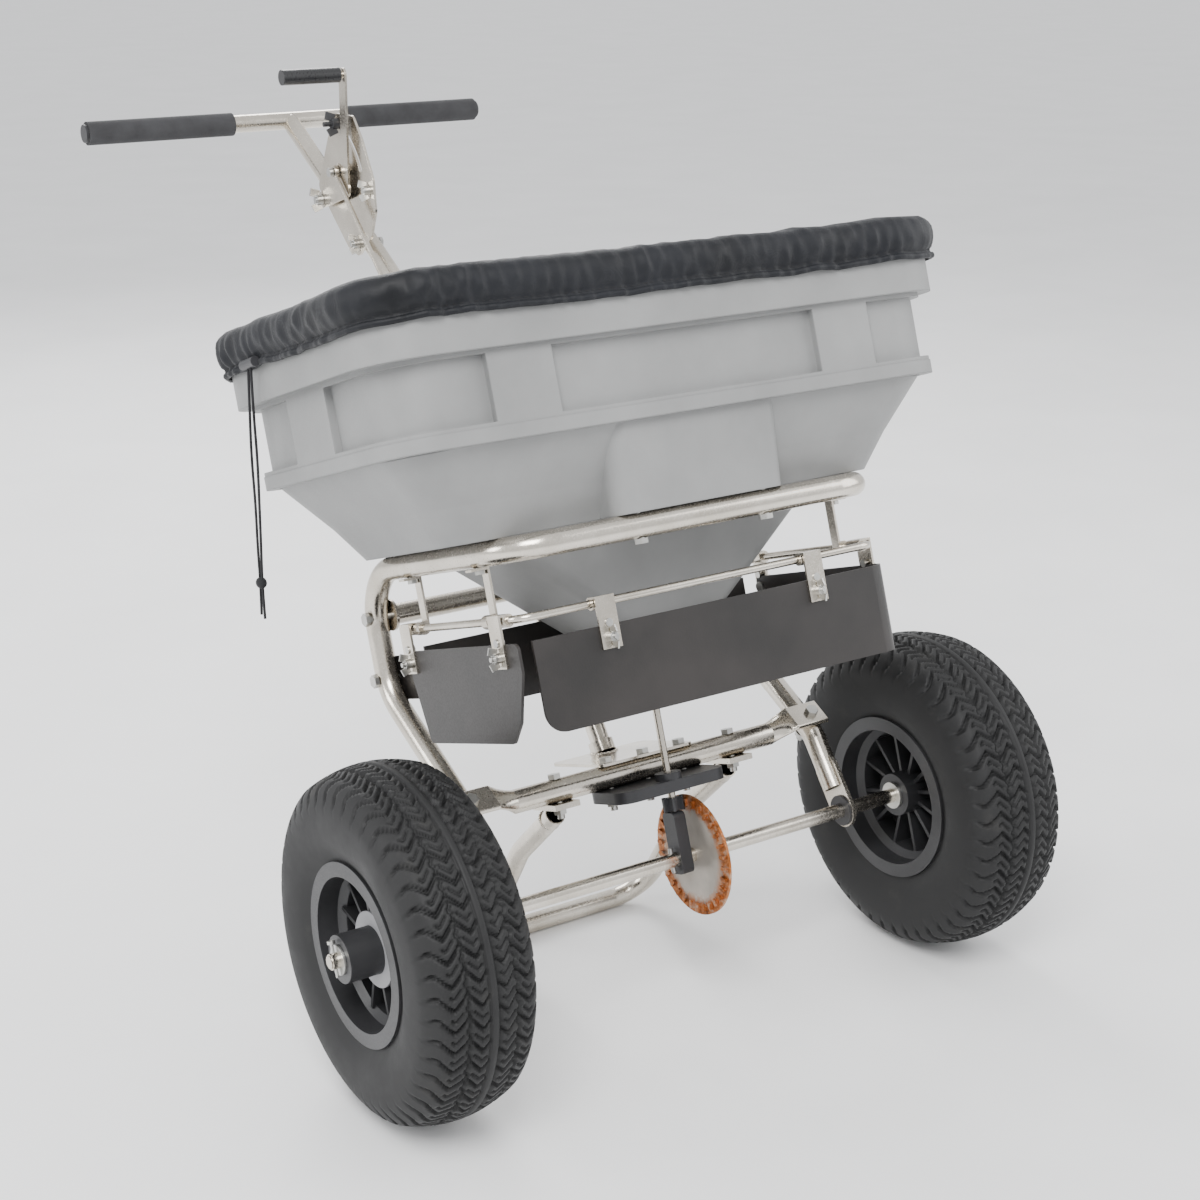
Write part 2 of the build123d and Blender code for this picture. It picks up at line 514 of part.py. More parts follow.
# ---- wheels: tyre, rim, hub ring and valve, drawn on a centre plane at x = 0, outer side +x
def tyre():
    side_r = RIM_SEAT_R + 0.1
    outer = [(50.2, side_r), (50.4, 93), (57, 106), (TYRE_W / 2, 130), (57, 154), (46, 168)]
    inner = [(42, side_r), (43, 94), (50, 108), (54, 130), (50, 150), (38, 162)]
    right_out = Spline(*[(x, y) for x, y in outer])
    crown = ThreePointArc((46, 168), (0, TYRE_R), (-46, 168))
    left_out = Spline(*[(-x, y) for x, y in reversed(outer)])
    left_in = Spline(*[(-x, y) for x, y in inner])
    roof = ThreePointArc((-38, 162), (0, 169), (38, 162))
    right_in = Spline(*[(x, y) for x, y in reversed(inner)])
    feet = [Line((-50.2, side_r), (-42, side_r)), Line((42, side_r), (50.2, side_r))]
    section = make_face([right_out, crown, left_out, feet[0], left_in, roof, right_in, feet[1]])
    solid = revolve(section, Axis.X, 360)
    cuts = Part()
    for k in range(24):
        for side in (-1, 1):
            turn = Rot(k * 15 + (7.5 if side > 0 else 0), 0, 0)
            cuts += turn * Pos(side * 36, 0, TYRE_R - 4) * Rot(0, side * 12, side * 18) * Box(44, 5, 12)
    return solid - cuts


def rim():
    well = [(-54, RIM_FLANGE_R), (-50.6, RIM_FLANGE_R), (-50.6, RIM_SEAT_R), (-30, RIM_SEAT_R), (-24, 74)]
    well += [(24, 74), (30, RIM_SEAT_R), (50.6, RIM_SEAT_R), (50.6, RIM_FLANGE_R), (54, RIM_FLANGE_R)]
    well += [(54, 77), (32, 77), (26, 69), (-26, 69), (-32, 77), (-54, 77)]
    body = revolve(make_face(Polyline(*well, close=True)), Axis.X, 360)
    body += bar((-41.75, 0, 0), (68.25, 0, 0), HUB_R) + bar((-3, 0, 0), (3, 0, 0), 72)
    for k in range(12):
        body += Rot(k * 30, 0, 0) * block(-26, 30, -2, 2, 15, 72)
    return body - bar((-60, 0, 0), (80, 0, 0), BORE_R)


def valve():
    stem = bar((14, 0, 44), (14, 0, 68.8), 4) + bar((14, 0, 40), (14, 0, 44), 3)
    return Rot(-75, 0, 0) * stem


hub_ring = ring((30, 0, 0), (32.5, 0, 0), 38, HUB_R + 0.02)
pin_hole = bar((392, 0, -30), (392, 0, 30), 3.05)
one_tyre = tyre()
one_rim = rim()
for name, side in (("drive", 1), ("free", -1)):
    spot = Pos(side * WHEEL_X, 0, 0) * Rot(0, 0, 0 if side > 0 else 180)
    save(f"{name}_tyre", spot * one_tyre)
    save(f"{name}_rim", spot * one_rim - pin_hole if side > 0 else spot * one_rim)
    save(f"{name}_hub_ring", spot * hub_ring)
    save(f"{name}_valve", spot * valve())

# ---- fabric cover, drawcord toggle, drawcord strands and knot
cover = slab(348, 191, 574, 617, 68)
cover = fillet(cover.faces().sort_by(Axis.Z)[-1].edges(), 11)
cover += loft([level(616.5, 322, 165, 56), level(627, 235, 95, 40)])
cover -= slab(RIM_HX + 0.4, RIM_HU + 0.4, 570, 605.3, 64.4)
save("cover", cover)

toggle = bar((TOGGLE_X, TOGGLE_U - 15.5, TOGGLE_V), (TOGGLE_X, TOGGLE_U + 15.5, TOGGLE_V), 5)
toggle += bar((TOGGLE_X, TOGGLE_U + 15.5, TOGGLE_V), (TOGGLE_X, TOGGLE_U + 19, TOGGLE_V), 3.4)
save("cord_toggle", toggle)

cord_y = TOGGLE_U * COS + TOGGLE_V * SIN - ORIGIN_Y
cord_z = TYRE_R - TOGGLE_U * SIN + TOGGLE_V * COS
cord_section = math.pi * CORD_D ** 2 / 4
drops = (2.0, 48.0, 96.0, 144.0, 190.0, 226.0, 262.0)
sway = {
    "drawcord_front": ((0.0, -3.0), (-1.5, -7.0), (1.0, -5.0), (-1.0, -8.0), (0.5, -3.0), (0.0, -2.2), (-1.5, -8.0)),
    "drawcord_rear": ((0.0, 3.0), (1.0, 7.5), (-1.0, 5.0), (1.5, 7.0), (-0.5, 3.0), (0.0, 2.2), (1.5, 7.0)),
}
for name, offsets in sway.items():
    points = [(TOGGLE_X + dx, cord_y + dy, cord_z - drop) for drop, (dx, dy) in zip(drops, offsets)]
    radii = []
    for before, corner, after in zip(points, points[1:], points[2:]):
        into = Vector(*corner) - Vector(*before)
        out = Vector(*after) - Vector(*corner)
        half_turn = math.radians(into.get_angle(out)) / 2
        radii.append(0.45 * min(into.length, out.length) / math.tan(half_turn))
    path = route(points, radii)
    cord = sweep(Plane(origin=path @ 0, z_dir=path % 0) * Circle(CORD_D / 2), path=path)
    print(name, "radii", [round(r) for r in radii], "length", round(path.length, 1))
    print(name, "volume ratio", round(cord.volume / (cord_section * path.length), 4))
    export_step(cord, f"parts/{name}.step")
knot = Pos(TOGGLE_X, cord_y, cord_z - 226) * scale(Sphere(6), by=(0.9, 1.15, 1.0))
export_step(knot, "parts/cord_knot.step")
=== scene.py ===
import json
import math

import bpy
import numpy as np
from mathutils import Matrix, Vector

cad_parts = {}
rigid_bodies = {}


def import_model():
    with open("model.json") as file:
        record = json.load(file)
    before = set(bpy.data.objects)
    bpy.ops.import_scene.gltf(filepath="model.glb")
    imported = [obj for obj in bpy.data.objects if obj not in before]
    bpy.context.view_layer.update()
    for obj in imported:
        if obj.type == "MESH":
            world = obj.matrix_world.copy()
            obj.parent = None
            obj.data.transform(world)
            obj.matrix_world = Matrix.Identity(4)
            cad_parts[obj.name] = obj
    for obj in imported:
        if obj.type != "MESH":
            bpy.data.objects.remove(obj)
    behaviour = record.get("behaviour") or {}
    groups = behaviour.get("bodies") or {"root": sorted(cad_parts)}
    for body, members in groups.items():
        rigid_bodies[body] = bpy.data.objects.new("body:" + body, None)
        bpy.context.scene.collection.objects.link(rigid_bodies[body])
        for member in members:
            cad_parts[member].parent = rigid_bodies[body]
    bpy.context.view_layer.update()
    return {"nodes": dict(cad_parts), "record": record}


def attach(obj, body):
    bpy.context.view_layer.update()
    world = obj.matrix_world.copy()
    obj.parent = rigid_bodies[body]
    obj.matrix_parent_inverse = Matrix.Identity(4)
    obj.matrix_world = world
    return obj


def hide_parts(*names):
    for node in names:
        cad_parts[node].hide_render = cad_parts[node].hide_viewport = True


for leftover in list(bpy.data.objects):
    bpy.data.objects.remove(leftover)
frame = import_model()
nodes = frame["nodes"]

# Chassis frame: X across, u rearward, v up the impeller shaft, in millimetres from the axle centre.
TILT = math.radians(19.0)
COS = math.cos(TILT)
SIN = math.sin(TILT)
TYRE_R = 178.0
ORIGIN_Y = (612.0 * COS + 935.0 * SIN + 14.2 - TYRE_R) / 2
WHEEL_X = 333.75
RIM_HX = 343.0
RIM_HU = 186.0


def row(x, u, v):
    """A chassis point as metres in the row frame."""
    return Vector((x, u * COS + v * SIN - ORIGIN_Y, TYRE_R - u * SIN + v * COS)) / 1000


def rows(points):
    p = np.asarray(points, float)
    y = p[:, 1] * COS + p[:, 2] * SIN - ORIGIN_Y
    z = TYRE_R - p[:, 1] * SIN + p[:, 2] * COS
    return np.stack([p[:, 0], y, z], axis=1) / 1000


# ---------------------------------------------------------------- camera
camera_data = bpy.data.cameras.new("camera")
camera = bpy.data.objects.new("camera", camera_data)
bpy.context.scene.collection.objects.link(camera)
camera.location = Vector((-1168.7, -1614.4 - ORIGIN_Y, 1145.8)) / 1000
aim = Vector((-104.8, -ORIGIN_Y, 484.7)) / 1000
camera.rotation_euler = (aim - camera.location).to_track_quat("-Z", "Y").to_euler()
camera_data.lens = 62.5
camera_data.sensor_width = 36.0
bpy.context.scene.camera = camera


# ---------------------------------------------------------------- materials
class Mat:
    """A small builder for procedural materials."""

    def __init__(self, name):
        self.material = bpy.data.materials.new(name)
        self.material.use_nodes = True
        self.tree = self.material.node_tree
        self.shader = self.tree.nodes["Principled BSDF"]
        self.coords = self.tree.nodes.new("ShaderNodeTexCoord").outputs["Object"]

    def node(self, kind, **sockets):
        made = self.tree.nodes.new(kind)
        for key, value in sockets.items():
            made.inputs[key].default_value = value
        return made

    def link(self, output, socket):
        self.tree.links.new(output, socket)

    def noise(self, scale, detail, rough):
        made = self.node("ShaderNodeTexNoise", Scale=scale, Detail=detail, Roughness=rough)
        self.link(self.coords, made.inputs["Vector"])
        return made.outputs["Fac"]

    def ramp(self, factor, stops):
        made = self.node("ShaderNodeValToRGB")
        while len(made.color_ramp.elements) < len(stops):
            made.color_ramp.elements.new(0.5)
        for element, (position, colour) in zip(made.color_ramp.elements, stops):
            element.position = position
            element.color = (*colour, 1.0)
        self.link(factor, made.inputs["Fac"])
        return made.outputs["Color"]

    def spread(self, factor, low, high):
        """Maps the middle of a noise's range onto low to high."""
        made = self.node("ShaderNodeMapRange")
        made.inputs["From Min"].default_value = 0.3
        made.inputs["From Max"].default_value = 0.7
        made.inputs["To Min"].default_value = low
        made.inputs["To Max"].default_value = high
        self.link(factor, made.inputs["Value"])
        return made.outputs["Result"]

    def bump(self, factor, strength, distance, normal=None):
        made = self.node("ShaderNodeBump", Strength=strength, Distance=distance)
        self.link(factor, made.inputs["Height"])
        if normal is not None:
            self.link(normal, made.inputs["Normal"])
        return made.outputs["Normal"]

    def edge(self, radius):
        made = self.node("ShaderNodeBevel", Radius=radius)
        made.samples = 4
        return made.outputs["Normal"]

    def finish(self, colour, roughness, normal, metallic=0.0):
        self.link(colour, self.shader.inputs["Base Color"])
        self.link(roughness, self.shader.inputs["Roughness"])
        self.link(normal, self.shader.inputs["Normal"])
        self.shader.inputs["Metallic"].default_value = metallic
        return self.material


def metal(name, dark, light, rough):
    m = Mat(name)
    streaks = m.noise(420.0, 3.0, 0.6)
    stains = m.noise(14.0, 5.0, 0.6)
    colour = m.ramp(stains, [(0.3, dark), (0.7, light)])
    shine = m.spread(streaks, rough - 0.07, rough + 0.09)
    normal = m.bump(streaks, 0.12, 0.0002, m.edge(0.0006))
    return m.finish(colour, shine, normal, 1.0)


def moulded(name, dark, light, rough, grain, strength, edge=0.0008):
    m = Mat(name)
    fine = m.noise(grain, 3.0, 0.6)
    broad = m.noise(9.0, 5.0, 0.55)
    colour = m.ramp(broad, [(0.35, dark), (0.65, light)])
    shine = m.spread(fine, rough - 0.06, rough + 0.08)
    normal = m.bump(fine, strength, 0.0004, m.edge(edge))
    return m.finish(colour, shine, normal)


def rusty(name):
    """Greyed steel towards the hub, with rust and grease where the pinion runs."""
    m = Mat(name)
    blotches = m.noise(95.0, 8.0, 0.72)
    grease = m.noise(26.0, 4.0, 0.5)
    from_axle = m.node("ShaderNodeVectorMath")
    from_axle.operation = "SUBTRACT"
    from_axle.inputs[1].default_value = row(14.0, 0.0, 0.0)
    m.link(m.coords, from_axle.inputs[0])
    radius = m.node("ShaderNodeVectorMath")
    radius.operation = "LENGTH"
    m.link(from_axle.outputs["Vector"], radius.inputs[0])
    ragged = m.node("ShaderNodeMath")
    ragged.operation = "MULTIPLY_ADD"
    ragged.inputs[1].default_value = 0.03
    m.link(blotches, ragged.inputs[0])
    m.link(radius.outputs["Value"], ragged.inputs[2])
    rim_share = m.node("ShaderNodeMapRange")
    rim_share.inputs["From Min"].default_value = 0.06
    rim_share.inputs["From Max"].default_value = 0.068
    m.link(ragged.outputs["Value"], rim_share.inputs["Value"])
    rust_stops = [(0.34, (0.1, 0.03, 0.008)), (0.5, (0.4, 0.13, 0.03)), (0.66, (0.45, 0.36, 0.28))]
    rust = m.ramp(blotches, rust_stops)
    steel = m.ramp(grease, [(0.3, (0.3, 0.27, 0.235)), (0.7, (0.52, 0.48, 0.43))])
    mix = m.node("ShaderNodeMix")
    mix.data_type = "RGBA"
    m.link(rim_share.outputs["Result"], mix.inputs["Factor"])
    m.link(steel, mix.inputs["A"])
    m.link(rust, mix.inputs["B"])
    shine = m.spread(grease, 0.34, 0.6)
    normal = m.bump(blotches, 0.35, 0.0006, m.edge(0.0005))
    return m.finish(mix.outputs["Result"], shine, normal, 0.7)


def tyre_rubber(name):
    m = Mat(name)
    fine = m.noise(900.0, 3.0, 0.6)
    dust = m.noise(17.0, 7.0, 0.65)
    stops = [(0.34, (0.006, 0.006, 0.0063)), (0.6, (0.013, 0.013, 0.0133)), (0.8, (0.032, 0.031, 0.029))]
    colour = m.ramp(dust, stops)
    shine = m.spread(dust, 0.5, 0.74)
    m.shader.inputs["Specular IOR Level"].default_value = 0.36
    return m.finish(colour, shine, m.bump(fine, 0.25, 0.0003))


def foam(name):
    m = Mat(name)
    cells = m.node("ShaderNodeTexVoronoi", Scale=900.0)
    m.link(m.coords, cells.inputs["Vector"])
    broad = m.noise(30.0, 4.0, 0.6)
    colour = m.ramp(broad, [(0.3, (0.02, 0.02, 0.0215)), (0.7, (0.045, 0.045, 0.048))])
    shine = m.spread(broad, 0.82, 0.95)
    return m.finish(colour, shine, m.bump(cells.outputs["Distance"], 0.5, 0.0005))


def woven(name, dark, light, rough, scale):
    m = Mat(name)
    warp = m.node("ShaderNodeTexWave", Scale=scale, Distortion=0.6, Detail=1.0)
    weft = m.node("ShaderNodeTexWave", Scale=scale, Distortion=0.6, Detail=1.0)
    weft.bands_direction = "Y"
    m.link(m.coords, warp.inputs["Vector"])
    m.link(m.coords, weft.inputs["Vector"])
    weave = m.node("ShaderNodeMath")
    weave.operation = "MULTIPLY"
    m.link(warp.outputs["Fac"], weave.inputs[0])
    m.link(weft.outputs["Fac"], weave.inputs[1])
    cloud = m.noise(11.0, 5.0, 0.6)
    crease = m.noise(38.0, 4.0, 0.55)
    colour = m.ramp(cloud, [(0.32, dark), (0.7, light)])
    shine = m.spread(cloud, rough - 0.08, rough + 0.1)
    creased = m.bump(crease, 0.35, 0.003)
    m.shader.inputs["Sheen Weight"].default_value = 0.04
    m.shader.inputs["Specular IOR Level"].default_value = 0.26
    return m.finish(colour, shine, m.bump(weave.outputs["Value"], 0.35, 0.0003, creased))


looks = {
    "stainless_tube": metal("stainless_tube", (0.52, 0.475, 0.405), (0.72, 0.675, 0.6), 0.22),
    "zinc_fastener": metal("zinc_fastener", (0.42, 0.42, 0.41), (0.66, 0.65, 0.61), 0.34),
    "black_plastic": moulded("black_plastic", (0.014, 0.014, 0.016), (0.03, 0.03, 0.033), 0.42, 900.0, 0.2),
    "white_plastic": moulded("white_plastic", (0.5, 0.5, 0.48), (0.62, 0.62, 0.6), 0.45, 700.0, 0.2),
    "hopper_plastic": moulded(
        "hopper_plastic", (0.215, 0.217, 0.215), (0.26, 0.262, 0.26), 0.5, 620.0, 0.35, 0.0025,
    ),
    "deflector_skin": moulded(
        "deflector_skin", (0.011, 0.0095, 0.0088), (0.022, 0.0185, 0.017), 0.4, 500.0, 0.15,
    ),
    "foam_grip": foam("foam_grip"),
    "vinyl_grip": moulded("vinyl_grip", (0.012, 0.012, 0.013), (0.02, 0.02, 0.021), 0.3, 400.0, 0.1, 0.002),
    "tyre_rubber": tyre_rubber("tyre_rubber"),
    "rim_plastic": moulded("rim_plastic", (0.014, 0.014, 0.015), (0.032, 0.032, 0.034), 0.4, 700.0, 0.2),
    "hub_grey": moulded("hub_grey", (0.2, 0.2, 0.21), (0.3, 0.3, 0.31), 0.5, 600.0, 0.2),
    "valve_rubber": moulded("valve_rubber", (0.012, 0.012, 0.013), (0.024, 0.024, 0.025), 0.5, 600.0, 0.2),
    "gear_steel": rusty("gear_steel"),
    "cover_fabric": woven("cover_fabric", (0.0035, 0.004, 0.0055), (0.009, 0.01, 0.0135), 0.5, 520.0),
    "cord_fibre": woven("cord_fibre", (0.008, 0.008, 0.009), (0.022, 0.022, 0.024), 0.7, 900.0),
}

slot_of = {part["node"]: part["material_slot"] for part in frame["record"]["subparts"]}
for name, node in nodes.items():
    node.data.materials.clear()
    node.data.materials.append(looks[slot_of[name]])


def dress(obj, slot, body):
    obj.data.materials.append(looks[slot])
    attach(obj, body)


def mesh_object(name, vertices, faces):
    mesh = bpy.data.meshes.new(name)
    mesh.from_pydata([tuple(v) for v in vertices], [], faces)
    mesh.validate()
    mesh.shade_smooth()
    made = bpy.data.objects.new(name, mesh)
    bpy.context.scene.collection.objects.link(made)
    return made


def grid_faces(rings, count):
    """Quads between neighbouring rings of count points; each ring closes on itself."""
    faces = []
    for i in range(rings - 1):
        for j in range(count):
            k = (j + 1) % count
            faces.append((i * count + j, i * count + k, (i + 1) * count + k, (i + 1) * count + j))
    return faces


def torus_faces(rings, count):
    """As grid_faces, with the last ring joined to the first."""
    last = (rings - 1) * count
    closing = [(last + j, last + (j + 1) % count, (j + 1) % count, j) for j in range(count)]
    return grid_faces(rings, count) + closing


# ---------------------------------------------------------------- drawcord strands
TOGGLE_X = -353.4
TOGGLE_U = 60.8
TOGGLE_V = 579.0
CORD_D = 2.8
cord_y = TOGGLE_U * COS + TOGGLE_V * SIN - ORIGIN_Y
cord_z = TYRE_R - TOGGLE_U * SIN + TOGGLE_V * COS
drops = (2.0, 48.0, 96.0, 144.0, 190.0, 226.0, 262.0)
sway = {
    "drawcord_front": (
        (0.0, -3.0), (-1.5, -7.0), (1.0, -5.0), (-1.0, -8.0), (0.5, -3.0), (0.0, -2.2), (-1.5, -8.0),
    ),
    "drawcord_rear": (
        (0.0, 3.0), (1.0, 7.5), (-1.0, 5.0), (1.5, 7.0), (-0.5, 3.0), (0.0, 2.2), (1.5, 7.0),
    ),
}
for name, offsets in sway.items():
    points = [
        Vector((TOGGLE_X + dx, cord_y + dy, cord_z - drop)) / 1000
        for drop, (dx, dy) in zip(drops, offsets)
    ]
    data = bpy.data.curves.new(name + "_strand", "CURVE")
    data.dimensions = "3D"
    spline = data.splines.new("NURBS")
    spline.points.add(len(points) - 1)
    for point, place in zip(spline.points, points):
        point.co = (*place, 1.0)
    spline.order_u = 3
    spline.use_endpoint_u = True
    spline.resolution_u = 12
    data.bevel_depth = CORD_D / 2000
    data.bevel_resolution = 6
    data.use_fill_caps = True
    strand = bpy.data.objects.new(name + "_strand", data)
    bpy.context.scene.collection.objects.link(strand)
    dress(strand, "cord_fibre", "cover_group")
    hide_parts(name)

# ---------------------------------------------------------------- tyres with cut tread
profile = [(42.0, 82.1), (50.2, 82.1), (50.4, 88.0), (50.9, 93.0), (53.5, 99.0), (57.0, 106.0), (59.0, 113.0)]
profile += [(60.3, 121.0), (61.0, 130.0), (60.6, 138.0), (59.3, 146.0), (57.4, 152.5), (55.2, 157.0)]
profile += [(53.0, 160.5), (50.6, 163.8), (48.2, 166.4), (45.6, 168.6)]
crown_x = np.linspace(43.0, 0.0, 24)
profile += [(x, TYRE_R - 9.4 * (x / 45.6) ** 2) for x in crown_x]
outer = np.array(profile)
outer = np.concatenate([outer, outer[-2::-1] * [-1, 1]])
AROUND = 960
TREAD_PITCHES = 48
MID_GROOVE_X = 5
SIDE_GROOVE_X = 26
phi = np.arange(AROUND) * 2 * math.pi / AROUND


def groove(distance, width):
    """1 at the middle of a groove, 0 outside it, with short slopes."""
    return np.clip((width - np.abs(distance)) / (0.35 * width), 0, 1)


def zigzag(t):
    """A triangle wave from -1 to 1, once for each whole number."""
    return 2 * np.abs(t - np.floor(t + 0.5)) * 2 - 1


tyre_points = []
for x, r in outer:
    side = 1 if x >= 0 else -1
    shoulder = np.clip((r - 150) / 9, 0, 1)
    offset = 0.5 if side < 0 else 0
    phase = phi / (2 * math.pi) * TREAD_PITCHES + 0.32 * zigzag(abs(x) / SIDE_GROOVE_X) + offset
    lateral = groove(phase - np.round(phase), 0.12) * (1 if abs(x) > MID_GROOVE_X else 0.0)
    half = phase + 0.5
    short = groove(half - np.round(half), 0.09) * (1 if 9 < abs(x) < 21 or 31 < abs(x) < 43 else 0)
    wander = 1.6 * zigzag(phi / (2 * math.pi) * 2 * TREAD_PITCHES)
    sipes = np.maximum(groove(abs(x) - MID_GROOVE_X, 1.4), groove(abs(x) - SIDE_GROOVE_X - wander, 2.2))
    depth = shoulder * np.maximum(np.maximum(5.2 * lateral, 3.0 * short), 3.4 * sipes * (r > 160))
    bead = 0.8 * math.exp(-((r - 146) / 1.6) ** 2) + 0.7 * math.exp(-((r - 108) / 1.4) ** 2)
    radius = r - depth
    across = x + side * bead - side * 0.3 * depth
    tyre_points.append(np.stack([across, radius * np.cos(phi), radius * np.sin(phi)], axis=1))
tyre_points = np.concatenate(tyre_points)
tyre_faces = grid_faces(len(outer), AROUND)
for name, side in (("drive", 1), ("free", -1)):
    local = tyre_points * [side, side, 1]
    placed = (local + [side * WHEEL_X, -ORIGIN_Y, TYRE_R]) / 1000
    tread = mesh_object(name + "_tread_tyre", placed, tyre_faces)
    dress(tread, "tyre_rubber", "drive_axle_group" if side > 0 else "free_wheel")
    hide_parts(name + "_tyre")


# ---------------------------------------------------------------- gathered cover
def rounded(hx, hu, corner, count):
    """Points round a rounded rectangle, evenly spaced, starting at the middle of the right side."""
    straight_x = 2 * (hx - corner)
    straight_u = 2 * (hu - corner)
    bend = corner * math.pi / 2
    total = 2 * (straight_x + straight_u) + 4 * bend
    made = []
    for k in range(count):
        s = (k / count) * total
        s += straight_u / 2
        legs = [straight_u, bend, straight_x, bend, straight_u, bend, straight_x, bend, straight_u]
        index = 0
        while s > legs[index] + 1e-9 and index < 8:
            s -= legs[index]
            index += 1
        side = (index // 2) % 4
        cx = (hx - corner) * (1 if side in (0, 3) else -1)
        cu = (hu - corner) * (1 if side in (0, 1) else -1)
        if index % 2:
            turn = side * math.pi / 2 + s / corner
            made.append((cx + corner * math.cos(turn), cu + corner * math.sin(turn)))
        elif side == 0:
            made.append((hx, -straight_u / 2 + s))
        elif side == 1:
            made.append((straight_x / 2 - s, hu))
        elif side == 2:
            made.append((-hx, straight_u / 2 - s))
        else:
            made.append((-straight_x / 2 + s, -hu))
    return np.array(made)


rng = np.random.default_rng(7)
FOLD_SEED = 11
RING = 1080
RIM_CORNER = 64
HEM_V = 573.5
SKIRT_TOP_V = 607
base = rounded(RIM_HX, RIM_HU, RIM_CORNER, RING)
ahead = np.roll(base, -1, axis=0) - np.roll(base, 1, axis=0)
ahead /= np.linalg.norm(ahead, axis=1)[:, None]
outward = np.stack([ahead[:, 1], -ahead[:, 0]], axis=1)
around = np.arange(RING) / RING
bearing = np.arctan2(base[:, 1] / RIM_HU, base[:, 0] / RIM_HX)
corner_pull = np.clip(1.3 - 2.6 * np.abs(np.abs(np.cos(bearing)) - 0.707), 0, 1)


def waves(low, high, count):
    """Smooth random swells round the rim, from -1 to 1, with low to high cycles in one turn."""
    total = np.zeros(RING)
    for _ in range(count):
        cycles = rng.integers(low, high)
        total += rng.uniform(0.4, 1.0) * np.sin(2 * math.pi * (cycles * around + rng.random()))
    return total / np.max(np.abs(total))


fine_gather = waves(70, 130, 9)
broad_gather = waves(18, 44, 7)
slow_swell = waves(3, 9, 5)
crumple_share = 0.55 + 0.45 * waves(5, 15, 6)


def creases(fold_rng, v, low, high, count):
    """Sharp-ridged folds round the hem that lean as they climb, some one way and some the other."""
    total = np.zeros(RING)
    for _ in range(count):
        cycles = fold_rng.integers(low, high)
        lean = fold_rng.uniform(-0.11, 0.11)
        start = fold_rng.random()
        total += 1 - 2 * np.abs(np.sin(math.pi * (cycles * around + start) + lean * (v - HEM_V)))
    return total / math.sqrt(count)


# height, stand-off from the rim and share of the gathers, from the hem up to the top edge
side_rows = [(HEM_V, 4.0, 1.0), (576.0, 5.5, 0.9), (579.0, 5.8, 0.75), (582.0, 4.4, 0.95), (585.0, 5.6, 1.0)]
side_rows += [(589.0, 7.6, 0.95), (594.0, 9.2, 0.8), (600.0, 9.8, 0.62), (606.0, 9.2, 0.46)]
side_rows += [(611.0, 7.4, 0.34), (615.0, 4.2, 0.26), (618.0, 0.0, 0.2)]
cover_points = []
for v, out, gather in side_rows:
    folds = np.random.default_rng(FOLD_SEED)
    leaning = creases(folds, v, 44, 90, 4) + 0.6 * creases(folds, v, 90, 150, 3)
    ripple = gather * (1.6 * fine_gather + 2.2 * broad_gather * (0.5 + corner_pull))
    ripple += 2.0 * corner_pull * (v > 584)
    ripple += (0.35 + 0.65 * gather) * 2.1 * crumple_share * leaning
    push = np.maximum(out + ripple + 0.8 * slow_swell, 1.2 if v < SKIRT_TOP_V else -30)
    lift = 1.6 * gather * broad_gather + 1.5 * slow_swell
    lift += 2.2 * crumple_share * broad_gather * min(1.0, (v - HEM_V) / 20)
    ring_xy = base + outward * push[:, None]
    cover_points.append(np.column_stack([ring_xy, v + lift]))
TOP_RINGS = 34
for k in range(1, TOP_RINGS + 1):
    share = 1 - k / TOP_RINGS
    inset = 1 - share
    scale_xy = base * (0.985 * share ** 0.92)
    spoke = (share ** 6) * (1.5 * broad_gather + 0.5 * fine_gather)
    folds = np.random.default_rng(FOLD_SEED)
    spoke += (share ** 5) * 1.6 * crumple_share * creases(folds, 618 + 45 * inset, 44, 90, 4)
    spoke += 2.2 * crumple_share * broad_gather * share ** 4
    x_wave = np.sin(scale_xy[:, 0] / 61 + 1.1 * np.sin(scale_xy[:, 1] / 47))
    x_wave = x_wave * np.cos(scale_xy[:, 1] / 53 + 0.4)
    y_wave = np.sin(scale_xy[:, 0] / 137 - scale_xy[:, 1] / 71 + 0.8)
    dome = 619.5 + 6.5 * (1 - share ** 2.4)
    calm = min(1.0, inset * 5)
    height = dome + spoke + calm * (1.5 * x_wave + 1.4 * y_wave) + 1.5 * slow_swell * share ** 2
    cover_points.append(np.column_stack([scale_xy, height]))
# the last ring has shrunk to one point, so only its first vertex is kept
cover_faces = [face[::-1] for face in grid_faces(len(cover_points) - 1, RING)]
centre_index = (len(cover_points) - 1) * RING
keep = np.concatenate(cover_points)[: centre_index + 1]
inner_start = (len(cover_points) - 2) * RING
cover_faces += [(inner_start + j, centre_index, inner_start + (j + 1) % RING) for j in range(RING)]
fabric = mesh_object("cover_fabric_sheet", rows(keep), cover_faces)
dress(fabric, "cover_fabric", "cover_group")
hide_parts("cover")

HEM_SIDES = 10
hem_points = []
hem_centre = cover_points[1].copy()
hem_centre[:, :2] += outward * 0.4
for k in range(HEM_SIDES):
    angle = 2 * math.pi * k / HEM_SIDES
    ring = hem_centre.copy()
    ring[:, :2] += outward * (2.5 * math.cos(angle))
    ring[:, 2] += 3.3 * math.sin(angle)
    hem_points.append(ring)
hem = mesh_object("cover_hem", rows(np.concatenate(hem_points)), torus_faces(HEM_SIDES, RING))
dress(hem, "cover_fabric", "cover_group")

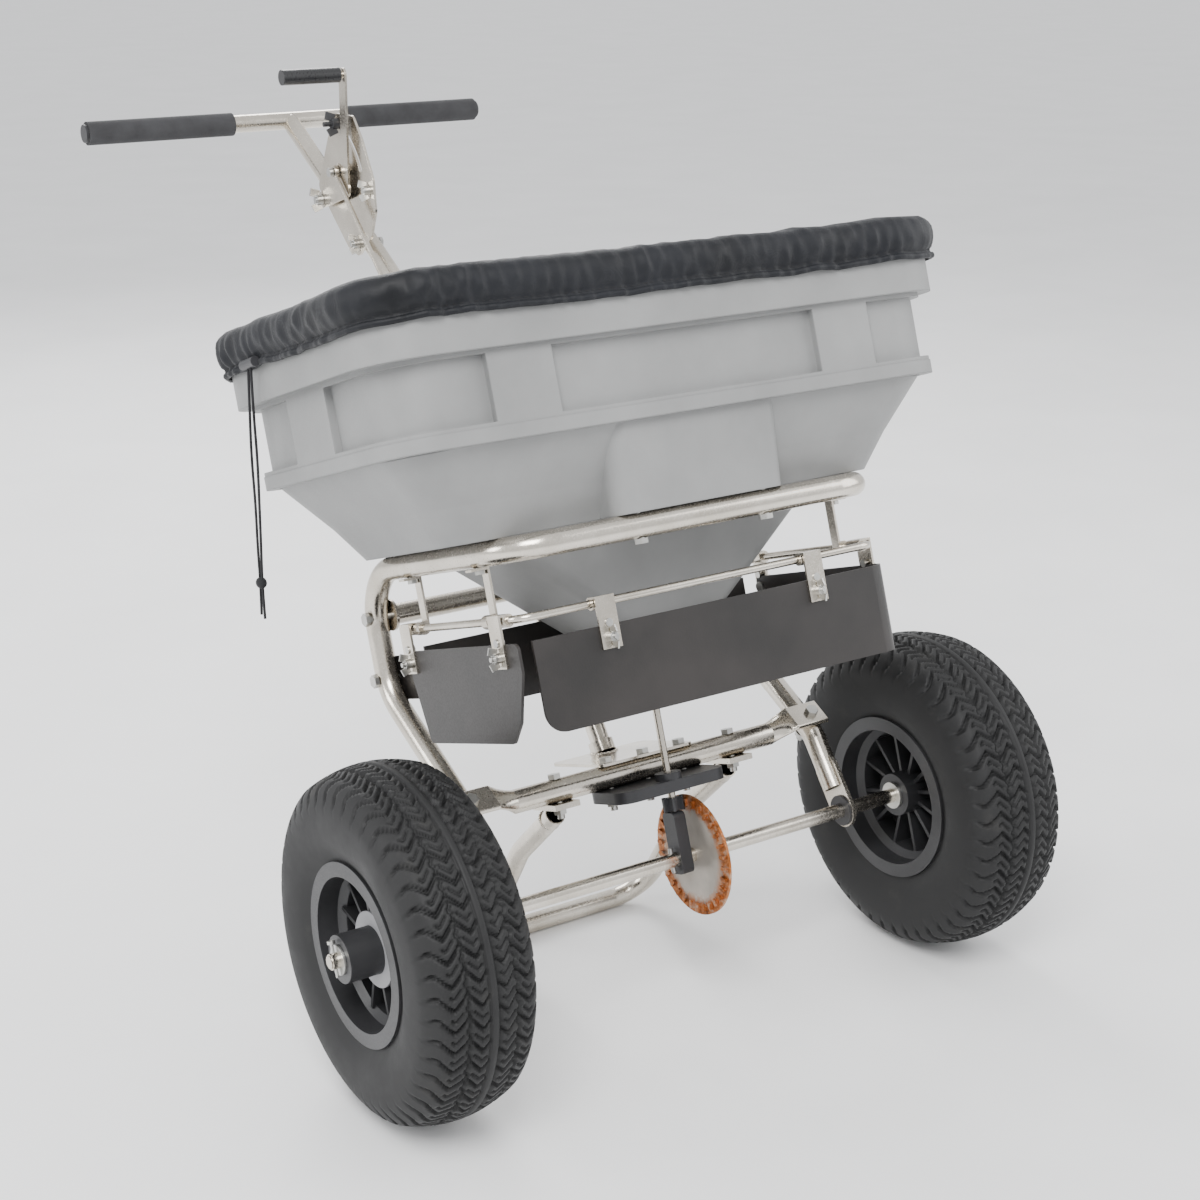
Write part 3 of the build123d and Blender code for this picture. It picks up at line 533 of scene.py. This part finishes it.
stitch_vertices = []
stitch_faces = []
line = cover_points[3]
for j in range(0, RING, 4):
    a = line[j].copy()
    b = line[(j + 2) % RING].copy()
    push = outward[j] * 0.5
    for p in (a, b):
        p[:2] += push
    up = np.array([0, 0, 0.45])
    start = len(stitch_vertices)
    stitch_vertices += [a - up, b - up, b + up, a + up]
    lifted = np.array([*(outward[j] * 0.5), 0])
    stitch_vertices += [(a + b) / 2 - up + lifted, (a + b) / 2 + up + lifted]
    stitch_faces += [(start, start + 4, start + 5, start + 3), (start + 4, start + 1, start + 2, start + 5)]
stitches = mesh_object("cover_stitches", rows(stitch_vertices), stitch_faces)
dress(stitches, "cord_fibre", "cover_group")


# ---------------------------------------------------------------- weld beads
WELD_SIDES = 8


def weld(name, centre, axis, radius, thick):
    """A rippled bead round a tube; centre in chassis millimetres, axis in (X, u, v)."""
    turn = Vector(axis).normalized()
    side = turn.cross(Vector((0.3, 1, 0.2))).normalized()
    up = turn.cross(side)
    count = 160
    points = []
    for k in range(WELD_SIDES):
        tube = 2 * math.pi * k / WELD_SIDES
        for j in range(count):
            t = 2 * math.pi * j / count
            fat = thick * (1 + 0.16 * math.sin(t * 24))
            radial = side * math.cos(t) + up * math.sin(t)
            point = Vector(centre) + radial * (radius + fat * math.cos(tube)) + turn * (fat * math.sin(tube))
            points.append(point)
    bead = mesh_object(name, rows(points), torus_faces(WELD_SIDES, count))
    dress(bead, "stainless_tube", "chassis")


weld("weld_stem_foot", (0, 121, 112.6), (0, 0, 1), 14.2, 1.6)
for side in (-1, 1):
    tag = "left" if side < 0 else "right"
    weld(f"weld_cross_{tag}", (side * 203.5, 160, 306), (1, 0, 0), 11.2, 1.3)
    weld(f"weld_stand_{tag}", (side * 112, 69, 65), (0, 0.9, -0.44), 11.2, 1.2)

# ---------------------------------------------------------------- floor, world and lights
bpy.ops.mesh.primitive_plane_add(size=40, location=(0, 6, 0))
floor = bpy.context.object
floor.name = "floor"
ground = Mat("floor")
tone = ground.noise(3.0, 5.0, 0.6)
floor_colour = ground.ramp(tone, [(0.3, (0.88, 0.88, 0.88)), (0.7, (0.93, 0.93, 0.93))])
floor_shine = ground.spread(tone, 0.55, 0.65)
floor.data.materials.append(ground.finish(floor_colour, floor_shine, ground.bump(tone, 0.02, 0.001)))

world = bpy.data.worlds.new("studio")
bpy.context.scene.world = world
world.use_nodes = True
sky = world.node_tree.nodes["Background"]
sky.inputs["Color"].default_value = (0.97, 0.98, 1.0, 1.0)
sky.inputs["Strength"].default_value = 1.15


def lamp(name, place, target, size, power):
    data = bpy.data.lights.new(name, "AREA")
    data.size = size
    data.energy = power
    made = bpy.data.objects.new(name, data)
    bpy.context.scene.collection.objects.link(made)
    made.location = place
    made.rotation_euler = (Vector(target) - Vector(place)).to_track_quat("-Z", "Y").to_euler()


lamp("key", (-1.6, -2.0, 3.0), (0, 0, 0.4), 1.6, 120)
lamp("fill", (2.6, -1.4, 1.8), (0, 0, 0.4), 2.2, 45)
lamp("rim_left", (-3.2, 0.8, 1.5), (0, 0, 0.5), 1.2, 40)
lamp("back", (0.6, 2.8, 2.4), (0, 0, 0.6), 1.6, 75)

bpy.context.view_layer.update()
